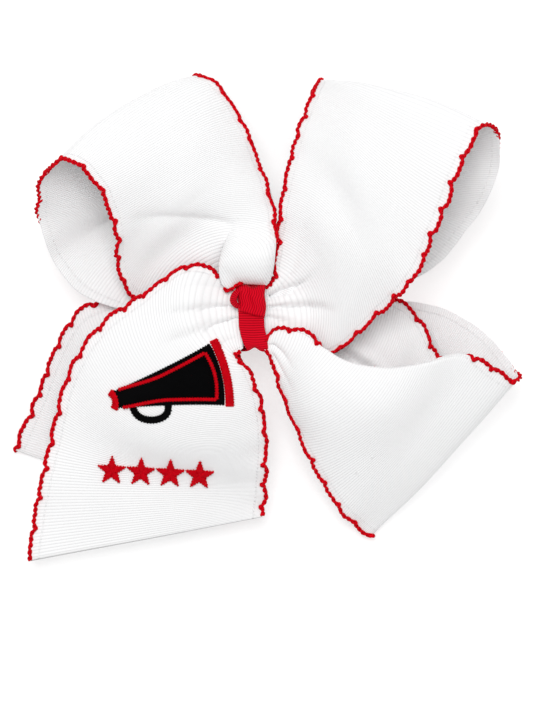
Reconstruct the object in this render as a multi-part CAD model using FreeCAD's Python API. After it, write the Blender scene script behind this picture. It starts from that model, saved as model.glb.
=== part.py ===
"""Cheer hair bow: one gathered ribbon with picot edging, a tied centre wrap and a sprung pinch clip.

Millimetres, +Z out of the bow's front, +X to the wearer's left as the front is seen, +Y up.
The origin is the middle of the clip's flat underside, straight below the knot.
"""
import FreeCAD, Part
import math
import os

os.makedirs("parts", exist_ok=True)
V = FreeCAD.Vector

# ---------------------------------------------------------------- driving dimensions
RIBBON_WIDTH = 76.2            # three inch grosgrain
RIBBON_THICK = 0.8
EDGING_WIDTH = 1.5             # picot edging, beyond the woven edge
EDGING_GAP = 0.03
TABLE_Z = -6.0                 # the surface that the bow lies on
SAMPLES_LONG = 37              # points along a ribbon run
SAMPLES_ACROSS = 9
SEW_TOLERANCE = 1e-3

GATHER_LEFT, GATHER_RIGHT = -6.0, 4.5
KNOT_X = -0.7                  # centre of the pinch, with y = 0
FAN_START, FAN_FULL = 10.0, 20.0   # radii between which lines across the ribbon turn to arcs
FAN_EASE, FAN_END = 48.0, 78.0     # radii between which they turn straight again
GATHER_BOTTOM, GATHER_TOP = 9.2, 17.8
GATHER_HALF = 9.8              # half height of the pinched stack, along Y
GATHER_CORNER = 3.2
LAYER_PITCH = 1.6              # from one ribbon layer to the next inside the pinch
LAYER_Z = [10.2 + LAYER_PITCH * level for level in range(5)]

WRAP_LEFT, WRAP_RIGHT = -5.2, 3.7
WRAP_THICK = 0.7
WIRE_RADIUS = 0.35
WIRE_TURNS = 4
KNOT_LENGTH, KNOT_WIDTH, KNOT_RISE = 11.0, 9.6, 3.4    # crossing turn, along Y, X and Z
KNOT_LEFT, KNOT_LOW = -5.6, -0.6
KNOT_ROUND = 2.2

STITCH_LIFT = 0.7              # clears the tail's crown under the flat shapes
STITCH_THICK = 0.5
HORN_CENTRE, HORN_TURN = (-31.0, -24.0), 14        # megaphone motif, turn in degrees
HORN_LENGTH, HORN_THROAT, HORN_MOUTH = 42.0, 5.0, 24.0
TRIM_WIDTH, TRIM_GAP = 2.6, 0.15
STAR_RADIUS, STAR_PITCH, STAR_COUNT = 5.3, 10.2, 4
STAR_FIRST, STAR_ROW_TURN = (-50.3, -53.2), -3
STAR_WAIST = 0.42              # inner corners' radius as a share of the points'

CLIP_LEFT, CLIP_RIGHT = -24.0, 24.0
CLIP_WIDTH = 9.0
SHEET_STEEL = 0.8
JAW_TOP_Z = 6.0                # underside of the upper arm
PIVOT_X, PIVOT_Z = 11.5, 3.2
PIN_RADIUS = 1.0
PIN_CLEARANCE = 0.05
EAR_GAP = 0.25                 # between the upper and lower arms' ears
EAR_RADIUS = 2.6
ARM_CORNER = 2.5
PIN_HEAD_THICK, PIN_HEAD_RADIUS, PIN_HEAD_GAP = 0.55, 1.7, 0.05
SPRING_WIRE = 0.35             # radius
COIL_GAP, COIL_CLEARANCE, COIL_TURNS = 0.15, 0.02, 4
JAW_TIP_INSET, JAW_TIP_FLAT = 1.5, 1.6
JAW_RAMP_FOOT_X = -17.0        # where the lower arm's tip ramp meets its flat
LEVER_BEND_X = 14.6
LINER_THICK, LINER_GAP = 0.6, 0.05
LINER_RIGHT = 6.5
LINER_INSET, LINER_OVERHANG = 0.2, 0.5
COVER_THICK, COVER_INSET = 0.5, 0.2
COVER_END_INSET = 0.6

# ---------------------------------------------------------------- ribbon runs
# A station is one line across the ribbon: (edge a, edge b, crown of the line between them).
# A loop's stations run out along the front, round the fold and home along the back.
RIGHT = GATHER_RIGHT + 0.05
LEFT = GATHER_LEFT - 0.05

UPPER_RIGHT = [
    ((RIGHT, 8.5, LAYER_Z[3]), (RIGHT, -8.5, LAYER_Z[3]), 0),
    ((5.6, 12, 15.2), (8.5, -10.5, 14.9), 0.5),
    ((7.2, 20, 16.4), (16, -13, 15), 3),
    ((8.2, 31, 17), (28, -11, 17), 7),
    ((10, 44, 18), (42, 1.5, 22), 9),
    ((13, 57, 16), (54, 13, 30), 8),
    ((17, 70, 12), (62.5, 32, 37), 6),
    ((21, 80, 6), (70, 51, 42), 5),
    ((22.5, 83, 1), (77, 66, 42), 4),
    ((20, 79, -3), (83, 64, 35), 2),
    ((15.5, 66, -4.8), (84.6, 56, 27), -2),
    ((12, 50, -4.8), (82, 44, 20), -4),
    ((10, 34, -3), (74, 31, 14), -5),
    ((9, 22, 3), (60, 16, 11.5), -4),
    ((8, 13, 12), (33, 4, 12.8), 0),
    ((RIGHT, 7.5, LAYER_Z[2]), (RIGHT, -8, LAYER_Z[2]), 0),
]
UPPER_LEFT = [
    ((LEFT, 8.5, LAYER_Z[3]), (LEFT, -8.5, LAYER_Z[3]), 0),
    ((-7.6, 11.5, 15), (-9, -7, 14.9), 0.2),
    ((-2, 16.5, 16.4), (-19, 0.5, 13.6), 0.8),
    ((5.2, 22, 17.6), (-31, 4, 12.6), 2.4),
    ((6.6, 32, 19), (-43, 8, 13), 5),
    ((4.2, 43, 17), (-48, 20, 22), 8),
    ((0, 55, 13), (-49, 33, 31), 7),
    ((-6, 70, 8), (-54, 45, 37), 6),
    ((-14, 81, 4), (-60, 52, 39), 5),
    ((-21, 85, 0), (-67, 55, 37), 4),
    ((-22, 82, -3.5), (-72, 51, 31), 2),
    ((-17, 70, -4.8), (-75, 42, 23), -2),
    ((-10, 55, -4.8), (-74.8, 31, 15.5), -4),
    ((-5, 38, -3), (-70, 18.5, 10), -5),
    ((-3, 23, 5), (-59, 7, 9), -4),
    ((-6.5, 13, 13.3), (-33, -1, 12.6), 0),
    ((LEFT, 7.5, LAYER_Z[2]), (LEFT, -8, LAYER_Z[2]), 0),
]
LOWER_LEFT = [
    ((LEFT, 7, LAYER_Z[1]), (LEFT, -9, LAYER_Z[1]), 0),
    ((-20, 8, 11.5), (-6.5, -13, 11.8), 0),
    ((-40, 7.5, 8.4), (-4, -20, 9.6), 0),
    ((-59, 4, 4.5), (-2, -28, 6), 0.3),
    ((-69, -9, 0.8), (-2, -38, 2), 1),
    ((-76, -27, -0.8), (-5.5, -53, 0), 1),
    ((-83, -43, -2), (-11, -70, -2), 0.5),
    ((-84.2, -47, -3.8), (-11.5, -73, -3.8), 0),
    ((-82, -43, -5.5), (-11, -69.5, -5.5), 0),
    ((-74, -24, -5.5), (-6, -50, -5.5), 0),
    ((-60, -1, -2.6), (-3.5, -30, -1.5), 0),
    ((-44, 3, 5), (-7, -22, 7.2), 0),
    ((-26, 5.5, 9.6), (-8, -13, 9.9), 0),
    ((LEFT, 6, LAYER_Z[0]), (LEFT, -9, LAYER_Z[0]), 0),
]
LOWER_RIGHT = [
    ((RIGHT, -9.6, LAYER_Z[4]), (RIGHT, 2, LAYER_Z[4]), 0),
    ((5.6, -13, 16.8), (9, -2.4, 18.4), 0.6),
    ((7.2, -20, 16), (18, -6.4, 20.6), 2.4),
    ((10, -28, 13.5), (30, -13.5, 23), 4),
    ((15, -40, 10), (46, -16.8, 26), 5),
    ((22, -54, 6), (60, -15.2, 27), 5),
    ((31, -68, 1), (74, -13, 25), 5),
    ((39, -75.5, -3), (87, -21, 19), 3),
    ((39.5, -76, -4.8), (91, -20.5, 14), 0),
    ((37, -72, -5.5), (88, -14, 8), -1),
    ((31, -62, -5.5), (80, -5, 4), -1),
    ((24, -48, -5.3), (68, 2.5, 1.5), -1),
    ((16, -33, -2), (54, 6, 2.5), -1),
    ((11, -22, 5), (38, 5, 7.4), 0),
    ((7.5, -13, 9), (21, 5, 9.3), 0),
    ((RIGHT, -9, LAYER_Z[0]), (RIGHT, 7, LAYER_Z[0]), 0),
]
FRONT_TAIL = [
    ((LEFT, 9.5, LAYER_Z[4]), (LEFT, -10, LAYER_Z[4]), 0),
    ((-11, 14, 19.8), (-7.5, -12.5, 16.9), 0.5),
    ((-17, 17, 22.8), (-5.5, -15, 16.2), 2.5),
    ((-25, 17.5, 23.8), (-3, -18.5, 15.4), 3),
    ((-38, 8.5, 22.2), (0, -25, 14), 4),
    ((-54, -3, 18), (2, -33, 12), 4),
    ((-65, -20, 13.5), (3, -43, 9.5), 3),
    ((-71, -42, 8), (3, -54, 6), 3),
    ((-76, -64, 5), (2.8, -62, 4), 2),
    ((-79.2, -85, 3.5), (2, -69.5, 3), 1),
]
INNER_TAIL = [
    ((RIGHT, -8, LAYER_Z[1]), (RIGHT, 8, LAYER_Z[1]), 0),
    ((8, -13.5, 10.8), (21, 6.5, 11), 0),
    ((14.5, -29, 7.4), (44, 7.4, 8.4), 1),
    ((19.5, -42, 4.5), (56, 0.5, 7), 5),
    ((25, -51, 4.5), (62.5, -13, 8.5), 7),
    ((31, -58, 5), (68, -24, 10), 8),
]
RUNS = {
    "loop_upper_right": UPPER_RIGHT,
    "loop_upper_left": UPPER_LEFT,
    "loop_lower_left": LOWER_LEFT,
    "loop_lower_right": LOWER_RIGHT,
    "tail_front": FRONT_TAIL,
    "tail_inner": INNER_TAIL,
}


def save(shape, node):
    """Write one node, and say what it holds so that a bad solid is seen."""
    shape.exportStep("parts/" + node + ".step")
    print(node, "valid", shape.isValid(), "solids", len(shape.Solids), "volume", round(shape.Volume, 1))


# ---------------------------------------------------------------- sheets
def spline(values, t):
    """Catmull-Rom value at t, from 0 to 1, of evenly spaced vectors or numbers."""
    last = len(values) - 1
    place = min(max(t, 0.0), 1.0) * last
    i = min(int(place), last - 1)
    f = place - i
    p1, p2 = values[i], values[i + 1]
    p0 = values[i - 1] if i > 0 else p1 * 2 - p2
    p3 = values[i + 2] if i + 2 <= last else p2 * 2 - p1
    return (p1 * 2 + (p2 - p0) * f + (p0 * 2 - p1 * 5 + p2 * 4 - p3) * (f * f)
            + (p1 * 3 - p0 - p2 * 3 + p3) * (f * f * f)) * 0.5


def run_point(stations, t, across):
    """Point of a ribbon run: t along it, across from edge a at 0 to edge b at 1."""
    a = spline([V(*s[0]) for s in stations], t)
    b = spline([V(*s[1]) for s in stations], t)
    crown = spline([float(s[2]) for s in stations], t)
    step = 0.5 / SAMPLES_LONG
    ahead = spline([V(*s[0]) + V(*s[1]) for s in stations], t + step)
    behind = spline([V(*s[0]) + V(*s[1]) for s in stations], t - step)
    side = (b - a).normalize()
    normal = (ahead - behind).cross(side)
    normal.normalize()
    return fan_point(a, b, across) + normal * (crown_sign(stations) * crown * 4 * across * (1 - across))


def smooth(x, low, high):
    """Smooth step from 0 at low to 1 at high."""
    f = min(max((x - low) / (high - low), 0.0), 1.0)
    return f * f * (3 - 2 * f)


def fan_point(a, b, across):
    """Point of a line from a to b that bends into an arc about the knot where the ribbon fans out."""
    ax, ay, bx, by = a.x - KNOT_X, a.y, b.x - KNOT_X, b.y
    ra, rb = math.hypot(ax, ay), math.hypot(bx, by)
    from_angle = math.atan2(ay, ax)
    turn = (math.atan2(by, bx) - from_angle + math.pi) % (2 * math.pi) - math.pi
    radius, angle = ra + (rb - ra) * across, from_angle + turn * across
    straight = a + (b - a) * across
    arc = V(KNOT_X + radius * math.cos(angle), radius * math.sin(angle), straight.z)
    middle = (ra + rb) / 2
    weight = smooth(middle, FAN_START, FAN_FULL) * (1 - smooth(middle, FAN_EASE, FAN_END))
    return straight + (arc - straight) * weight


def crown_sign(stations):
    """+1 where along x across points to +Z at the start of the run, else -1."""
    a, b = V(*stations[0][0]), V(*stations[0][1])
    along = V(*stations[2][0]) + V(*stations[2][1]) - a - b
    return 1.0 if along.cross(b - a).z > 0 else -1.0


def grid_normals(grid):
    """Unit normals of a grid of points, by central differences."""
    rows, columns = len(grid), len(grid[0])
    normals = []
    for i in range(rows):
        line = []
        for j in range(columns):
            du = grid[min(i + 1, rows - 1)][j] - grid[max(i - 1, 0)][j]
            dv = grid[i][min(j + 1, columns - 1)] - grid[i][max(j - 1, 0)]
            normal = du.cross(dv)
            normal.normalize()
            line.append(normal)
        normals.append(line)
    return normals


def sheet_solid(grid, thickness):
    """Closed solid of even thickness about a grid of points, lofted through its cross-sections."""
    wires = []
    for row, normals in zip(grid, grid_normals(grid)):
        upper = [p + n * (thickness / 2) for p, n in zip(row, normals)]
        lower = [p - n * (thickness / 2) for p, n in zip(row, normals)]
        wires.append(Part.Wire([smooth_edge(upper), Part.makeLine(upper[-1], lower[-1]),
                                smooth_edge(lower[::-1]), Part.makeLine(lower[0], upper[0])]))
    tube = Part.makeLoft(wires, False, False)
    shell = Part.makeCompound(tube.Faces + [end_cap(wires[0]), end_cap(wires[-1])])
    shell.sewShape(SEW_TOLERANCE)
    solid = Part.makeSolid(shell.Shells[0])
    if solid.Volume < 0:
        solid.reverse()
    return solid


def end_cap(wire):
    """Face that closes a four-sided end section, filled between its edges."""
    return Part.makeFilledFace(wire.Edges)


def smooth_edge(points):
    """Edge through points, curved where there are more than two."""
    if len(points) == 2:
        return Part.makeLine(*points)
    curve = Part.BSplineCurve()
    curve.interpolate(points)
    return curve.toShape()


def run_grid(stations):
    """Grid of points over a whole run."""
    return [[run_point(stations, i / (SAMPLES_LONG - 1), j / (SAMPLES_ACROSS - 1))
             for j in range(SAMPLES_ACROSS)] for i in range(SAMPLES_LONG)]


def edging_grid(stations, side, looped):
    """Grid of the picot edging beyond edge a (side 0) or edge b (side 1), clear of the pinched centre."""
    inner, rim = (0.0, 0.05) if side == 0 else (1.0, 0.95)
    start = 1 / (len(stations) - 1)
    finish = 1 - start if looped else 1.0
    grid = []
    for i in range(SAMPLES_LONG):
        t = start + (finish - start) * i / (SAMPLES_LONG - 1)
        edge = run_point(stations, t, inner)
        out = (edge - run_point(stations, t, rim)).normalize()
        grid.append([edge + out * (EDGING_GAP + EDGING_WIDTH * k / 2) for k in range(3)])
    return grid


for name, stations in RUNS.items():
    save(sheet_solid(run_grid(stations), RIBBON_THICK), name)
    strips = [sheet_solid(edging_grid(stations, side, "loop" in name), RIBBON_THICK) for side in (0, 1)]
    save(Part.makeCompound(strips), "edging_" + name)


# ---------------------------------------------------------------- pinched centre
def rounded_bar(x0, x1, half_y, z0, z1, radius):
    """Bar along X with its four long edges rounded."""
    bar = Part.makeBox(x1 - x0, 2 * half_y, z1 - z0, V(x0, -half_y, z0))
    return bar.makeFillet(radius, [e for e in bar.Edges if abs(e.BoundBox.XLength - (x1 - x0)) < 1e-6])


def band(x0, x1, inner, thickness):
    """Rounded band along X round a bar given as (half_y, z0, z1, radius)."""
    half_y, z0, z1, radius = inner
    outer = rounded_bar(x0, x1, half_y + thickness, z0 - thickness, z1 + thickness, radius + thickness)
    return outer.cut(rounded_bar(x0 - 1, x1 + 1, half_y, z0, z1, radius))


gather_bar = rounded_bar(GATHER_LEFT, GATHER_RIGHT, GATHER_HALF, GATHER_BOTTOM, GATHER_TOP, GATHER_CORNER)
save(gather_bar, "ribbon_centre_gather")

turn_pitch = (WRAP_RIGHT - WRAP_LEFT) / (WIRE_TURNS + 1)
turn_centres = [WRAP_LEFT + turn_pitch * (k + 1) for k in range(WIRE_TURNS)]
gather_section = (GATHER_HALF, GATHER_BOTTOM, GATHER_TOP, GATHER_CORNER)
turns = [band(x - WIRE_RADIUS, x + WIRE_RADIUS, gather_section, 2 * WIRE_RADIUS) for x in turn_centres]
save(Part.makeCompound(turns), "cinch_wire")

wire_out = 2 * WIRE_RADIUS
wrap_section = (GATHER_HALF + wire_out, GATHER_BOTTOM - wire_out, GATHER_TOP + wire_out,
                GATHER_CORNER + wire_out)
save(band(WRAP_LEFT, WRAP_RIGHT, wrap_section, WRAP_THICK), "centre_wrap")

wrap_top = wrap_section[2] + WRAP_THICK
wrap_underside = wrap_section[1] - WRAP_THICK
knot_blank = Part.makeBox(KNOT_WIDTH, KNOT_LENGTH, KNOT_RISE, V(KNOT_LEFT, KNOT_LOW, wrap_top))
crest = [e for e in knot_blank.Edges if e.BoundBox.ZMin > wrap_top]
save(knot_blank.makeFillet(KNOT_ROUND, crest), "centre_knot")


# ---------------------------------------------------------------- embroidery on the front tail
def tail_face(centre):
    """Point and outward normal of the front tail's face nearest to a front-view point."""
    grid = run_grid(FRONT_TAIL)
    normals = grid_normals(grid)
    target = V(centre[0], centre[1], 0)

    def away(place):
        point = grid[place[0]][place[1]]
        return (V(point.x, point.y, 0) - target).Length

    i, j = min([(i, j) for i in range(SAMPLES_LONG) for j in range(SAMPLES_ACROSS)], key=away)
    normal = normals[i][j] if normals[i][j].z > 0 else normals[i][j] * -1
    return grid[i][j] + normal * (RIBBON_THICK / 2 + STITCH_LIFT), normal


def stitched(outline, centre):
    """Flat stitched shape: an outline of front-view points laid on the tail's face at its centre."""
    foot, normal = tail_face(centre)
    lean_x, lean_y = normal.x / normal.z, normal.y / normal.z
    points = [V(x, y, foot.z - lean_x * (x - foot.x) - lean_y * (y - foot.y)) for x, y in outline]
    face = Part.Face(Part.makePolygon(points + points[:1]))
    return face.extrude(normal * STITCH_THICK)


def turned(points, centre, degrees):
    """Points given about a centre, turned anticlockwise."""
    c, s = math.cos(math.radians(degrees)), math.sin(math.radians(degrees))
    return [(centre[0] + x * c - y * s, centre[1] + x * s + y * c) for x, y in points]


def star(centre, radius, degrees):
    """Five-pointed star outline."""
    points = []
    for k in range(10):
        reach = radius if k % 2 == 0 else radius * STAR_WAIST
        angle = math.radians(90 + 36 * k + degrees)
        points.append((centre[0] + reach * math.cos(angle), centre[1] + reach * math.sin(angle)))
    return points


def horn_slice(x0, x1):
    """The megaphone's cone from x0 to x1 along its length, laid on the tail."""
    low, high = [(HORN_THROAT + (HORN_MOUTH - HORN_THROAT) * (x / HORN_LENGTH + 0.5)) / 2 for x in (x0, x1)]
    outline = [(x0, -low), (x1, -high), (x1, high), (x0, low)]
    return stitched(turned(outline, HORN_CENTRE, HORN_TURN), HORN_CENTRE)


half_length = HORN_LENGTH / 2
cone_half = half_length - TRIM_WIDTH - TRIM_GAP
save(horn_slice(-cone_half, cone_half), "embroidery_megaphone")
bands = [horn_slice(-half_length, -half_length + TRIM_WIDTH), horn_slice(half_length - TRIM_WIDTH, half_length)]
save(Part.makeCompound(bands), "embroidery_trim_bands")

row_slope = math.tan(math.radians(STAR_ROW_TURN))
star_steps = [STAR_PITCH * k for k in range(STAR_COUNT)]
star_centres = [(STAR_FIRST[0] + step, STAR_FIRST[1] + step * row_slope) for step in star_steps]
stars = [stitched(star(centre, STAR_RADIUS, STAR_ROW_TURN), centre) for centre in star_centres]
save(Part.makeCompound(stars), "embroidery_stars")


# ---------------------------------------------------------------- pinch clip
def box(x0, x1, y0, y1, z0, z1):
    """Block between two corners."""
    return Part.makeBox(x1 - x0, y1 - y0, z1 - z0, V(x0, y0, z0))


def along_y(radius, y0, y1, x=PIVOT_X, z=PIVOT_Z):
    """Cylinder along Y about a point of the XZ plane, by default the pivot."""
    return Part.makeCylinder(radius, y1 - y0, V(x, y0, z), V(0, 1, 0))


def ears(outer_y, z0, z1, radius):
    """Pair of pivot ears whose outer faces are at plus and minus outer_y."""
    pair = []
    for y0 in (outer_y - SHEET_STEEL, -outer_y):
        y1 = y0 + SHEET_STEEL
        ear = box(PIVOT_X - radius, PIVOT_X + radius, y0, y1, z0, z1).fuse(along_y(radius, y0, y1))
        pair.append(ear.cut(along_y(PIN_RADIUS + PIN_CLEARANCE, y0 - 1, y1 + 1)))
    return pair


half_width = CLIP_WIDTH / 2
arm = box(CLIP_LEFT, CLIP_RIGHT, -half_width, half_width, JAW_TOP_Z, JAW_TOP_Z + SHEET_STEEL)
upper_ears = ears(half_width, PIVOT_Z, JAW_TOP_Z, EAR_RADIUS)
arm = arm.makeFillet(ARM_CORNER, [e for e in arm.Edges if abs(e.BoundBox.ZLength - SHEET_STEEL) < 1e-6])
save(arm.fuse(upper_ears).removeSplitter(), "clip_upper_jaw")

inner_half = half_width - SHEET_STEEL - EAR_GAP


def strip_along_x(profile, half_y):
    """Bent strip: the centre line of its underside, as (x, z) points, thickened upward."""
    under = [V(x, -half_y, z) for x, z in profile]
    over = [V(x, -half_y, z + SHEET_STEEL) for x, z in profile]
    outline = Part.makePolygon(under + over[::-1] + under[:1])
    return Part.Face(outline).extrude(V(0, 2 * half_y, 0))


jaw_tip_x = CLIP_LEFT + JAW_TIP_INSET
tip_z = JAW_TOP_Z - LINER_THICK - LINER_GAP - SHEET_STEEL
lower_profile = [(jaw_tip_x, tip_z), (jaw_tip_x + JAW_TIP_FLAT, tip_z), (JAW_RAMP_FOOT_X, 0.0),
                 (LEVER_BEND_X, 0.0), (CLIP_RIGHT, TABLE_Z)]
lower = strip_along_x(lower_profile, inner_half)
lower_ears = ears(inner_half, SHEET_STEEL / 2, PIVOT_Z, EAR_RADIUS)
save(lower.fuse(lower_ears).removeSplitter(), "clip_lower_jaw")

head_near = half_width + PIN_HEAD_GAP
head_far = head_near + PIN_HEAD_THICK
pin = along_y(PIN_RADIUS, -head_far, head_far)
heads = [along_y(PIN_HEAD_RADIUS, head_near, head_far), along_y(PIN_HEAD_RADIUS, -head_far, -head_near)]
save(pin.fuse(heads).removeSplitter(), "clip_hinge_pin")

coil_radius = PIN_RADIUS + COIL_GAP + SPRING_WIRE
coil_pitch = 2 * SPRING_WIRE + COIL_CLEARANCE
coil_places = [(k - (COIL_TURNS - 1) / 2) * coil_pitch for k in range(COIL_TURNS)]
coils = [Part.makeTorus(coil_radius, SPRING_WIRE, V(PIVOT_X, y, PIVOT_Z), V(0, 1, 0)) for y in coil_places]
save(Part.makeCompound(coils), "clip_torsion_spring")

liner_half = inner_half - LINER_INSET
liner_left = jaw_tip_x - LINER_OVERHANG
liner = box(liner_left, LINER_RIGHT, -liner_half, liner_half, JAW_TOP_Z - LINER_THICK, JAW_TOP_Z)
save(liner, "clip_grip_liner")

cover_half = half_width - COVER_INSET
cover_from = JAW_TOP_Z + SHEET_STEEL
cover_top = cover_from + COVER_THICK
cover_left, cover_right = CLIP_LEFT + COVER_END_INSET, CLIP_RIGHT - COVER_END_INSET
cover = box(cover_left, cover_right, -cover_half, cover_half, cover_from, cover_top)
save(cover, "clip_ribbon_cover")
save(box(WRAP_LEFT, WRAP_RIGHT, -half_width, half_width, cover_top, wrap_underside), "glue_pad")
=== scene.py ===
"""Cheer hair bow in gathered grosgrain ribbon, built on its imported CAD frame.

The whole is laid out as an add-on: properties, one operator per piece or group of like pieces, a panel,
and a main() that runs the operators in order. Shapes are worked out in millimetres and made in metres, in
the frame's own axes.
"""
import math

import bpy
import numpy as np
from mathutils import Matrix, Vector


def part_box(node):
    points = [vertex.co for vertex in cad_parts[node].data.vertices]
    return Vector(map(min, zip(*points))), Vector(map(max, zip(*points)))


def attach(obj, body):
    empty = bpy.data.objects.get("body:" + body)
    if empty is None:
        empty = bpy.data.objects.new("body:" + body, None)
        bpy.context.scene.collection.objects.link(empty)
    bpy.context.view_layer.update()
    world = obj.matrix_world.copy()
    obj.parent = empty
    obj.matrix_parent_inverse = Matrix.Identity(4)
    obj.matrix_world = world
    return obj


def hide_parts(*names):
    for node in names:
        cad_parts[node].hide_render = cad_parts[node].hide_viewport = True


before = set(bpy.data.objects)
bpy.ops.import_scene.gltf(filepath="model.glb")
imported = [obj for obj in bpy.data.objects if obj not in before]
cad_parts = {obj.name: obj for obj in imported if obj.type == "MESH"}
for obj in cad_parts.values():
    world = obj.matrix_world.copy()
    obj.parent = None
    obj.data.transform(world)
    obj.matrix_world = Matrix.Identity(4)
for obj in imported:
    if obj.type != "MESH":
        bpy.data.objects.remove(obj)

bl_info = {
    "name": "Cheer hair bow",
    "version": (1, 0, 0),
    "blender": (4, 5, 0),
    "location": "View3D > Sidebar > Bow",
    "description": "Builds the ribbon, edging, embroidery, wrap and clip finishes of a cheer hair bow",
    "category": "Object",
}

MM = 0.001
UP = np.array([0.0, 0.0, 1.0])
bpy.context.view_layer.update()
BODY = "bow"
TABLE_Z = -0.006                        # the table top, under the lowest edging, m
RIBBON_WIDTH = 76.2                     # 3 inch grosgrain, mm
KNOT = np.array([-0.7, 0.0])            # centre of the pinch in the front view, mm
FAN_START, FAN_FULL = 10.0, 20.0        # lines across the ribbon become arcs round the knot, mm
FAN_EASE, FAN_END = 48.0, 78.0

# ---------------------------------------------------------------- ribbon runs, in mm, close to the CAD's
# A station is one line across the ribbon: (edge a, edge b, crown of the line between them).
UPPER_RIGHT = [
    ((2.4, 9.2, 16.7), (2.4, -8.5, 16.7), 0),
    ((5.6, 12, 15.9), (8.5, -10.5, 15.6), 0.5),
    ((7.2, 20, 16.4), (16, -13, 15), 3),
    ((8.2, 31, 17), (28, -11, 17), 7),
    ((10, 44, 18), (42, 1.5, 22), 9),
    ((13, 57, 16), (54, 13, 30), 8),
    ((17, 70, 12), (62.5, 32, 37), 6),
    ((21, 80, 6), (70, 51, 42), 5),
    ((22.5, 83, 1), (77, 66, 42), 4),
    ((20, 79, -3), (83, 64, 35), 2),
    ((15.5, 66, -4.8), (84.6, 56, 27), -2),
    ((12, 50, -4.8), (82, 44, 20), -4),
    ((10, 34, -3), (74, 31, 14), -5),
    ((9, 22, 3), (60, 16, 11.5), -4),
    ((8, 13, 12), (33, 4, 12.8), 0),
    ((4.5, 7.5, 13.4), (4.5, -8, 13.4), 0),
]
UPPER_LEFT = [
    ((-4.4, 8.5, 16.7), (-4.4, -8.5, 16.7), 0),
    ((-7.6, 11.5, 15.6), (-9, -7, 15.4), 0.2),
    ((-2, 16.5, 16.4), (-19, 0.5, 15.6), 1.2),
    ((5.2, 22, 17.6), (-31, 4, 15.4), 3.0),
    ((6.6, 32, 19), (-43, 8, 15.4), 5),
    ((4.2, 43, 17), (-48, 20, 22), 8),
    ((0, 55, 13), (-49, 33, 31), 7),
    ((-6, 70, 8), (-54, 45, 37), 6),
    ((-14, 81, 4), (-60, 52, 39), 5),
    ((-21, 85, 0), (-67, 55, 37), 4),
    ((-22, 82, -3.5), (-72, 51, 31), 2),
    ((-17, 70, -4.8), (-75, 42, 23), -2),
    ((-10, 55, -4.8), (-74.8, 31, 15.5), -4),
    ((-5, 38, -3), (-70, 18.5, 10), -5),
    ((-3, 23, 5), (-59, 7, 9), -4),
    ((-6.5, 13, 13.3), (-33, -1, 12.6), 0),
    ((-6, 7.5, 13.4), (-6, -8, 13.4), 0),
]
LOWER_LEFT = [
    ((-6, 7, 11.8), (-6, -9, 11.8), 0),
    ((-20, 8, 11.5), (-6.5, -13, 11.8), 0),
    ((-40, 7.5, 8.4), (-4, -20, 9.6), 0),
    ((-59, 4, 4.5), (-2, -28, 6), 0.3),
    ((-69, -9, 0.8), (-2, -38, 2), 1),
    ((-76, -27, -0.8), (-6.5, -52, 0), 1),
    ((-83, -43, -2), (-12.5, -66, -2), 0.5),
    ((-84.2, -47, -3.8), (-14, -68.5, -3.8), 0),
    ((-82, -43, -5.5), (-13, -66, -5.5), 0),
    ((-74, -24, -5.5), (-6, -50, -5.5), 0),
    ((-60, -1, -2.6), (-3.5, -30, -1.5), 0),
    ((-44, 3, 5), (-7, -22, 7.2), 0),
    ((-26, 5.5, 9.6), (-8, -13, 9.9), 0),
    ((-6, 6, 10.2), (-6, -9, 10.2), 0),
]
LOWER_RIGHT = [
    ((2.4, -10.6, 17.6), (2.4, -7.4, 17.6), 0),
    ((5.2, -13, 17.0), (8.6, -4.0, 18.8), 0.6),
    ((7.2, -20, 16), (18, -5.6, 20.8), 2.4),
    ((10, -28, 13.5), (30, -14.4, 23), 4),
    ((15, -40, 10), (46, -17.4, 26), 5),
    ((22, -54, 6), (60, -15.2, 27), 5),
    ((31, -68, 1), (74, -13, 25), 5),
    ((39, -75.5, -3), (87, -21, 19), 3),
    ((39.5, -76, -4.8), (91, -20.5, 14), 0),
    ((37, -72, -5.5), (88, -14, 8), -1),
    ((31, -62, -5.5), (80, -5, 4), -1),
    ((24, -48, -5.3), (68, 2.5, 1.5), -1),
    ((16, -33, -2), (54, 6, 2.5), -1),
    ((11, -22, 5), (38, 5, 7.4), 0),
    ((7.5, -13, 9), (21, 5, 9.3), 0),
    ((4.5, -9, 10.2), (4.5, 7, 10.2), 0),
]
FRONT_TAIL = [
    ((-4.4, 9.4, 16.9), (-4.4, -10.4, 17.6), 0),
    ((-11, 14, 18.6), (-7.5, -12.5, 16.9), 0.5),
    ((-17, 17.2, 21.0), (-5.5, -15, 16.2), 2.5),
    ((-25, 17.5, 22.2), (-3, -18.5, 15.4), 3),
    ((-38, 8.5, 21.2), (0, -25, 14), 4),
    ((-54, -3, 18), (2, -33, 12), 4),
    ((-65, -20, 13.5), (3, -43, 9.5), 3),
    ((-71, -42, 8), (3, -54, 6), 3),
    ((-76, -64, 5), (2.8, -62, 4), 2),
    ((-79.2, -85, 3.5), (2, -69.5, 3), 1),
]
INNER_TAIL = [
    ((4.5, -8, 11.8), (4.5, 8, 11.8), 0),
    ((8, -13.5, 10.8), (21, 6.5, 11), 0),
    ((14.5, -29, 7.4), (44, 7.4, 8.4), 1),
    ((19.5, -42, 4.5), (56, 0.5, 7), 5),
    ((25, -51, 4.5), (62.5, -13, 8.5), 7),
    ((31, -58, 5), (68, -24, 10), 8),
]
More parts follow.
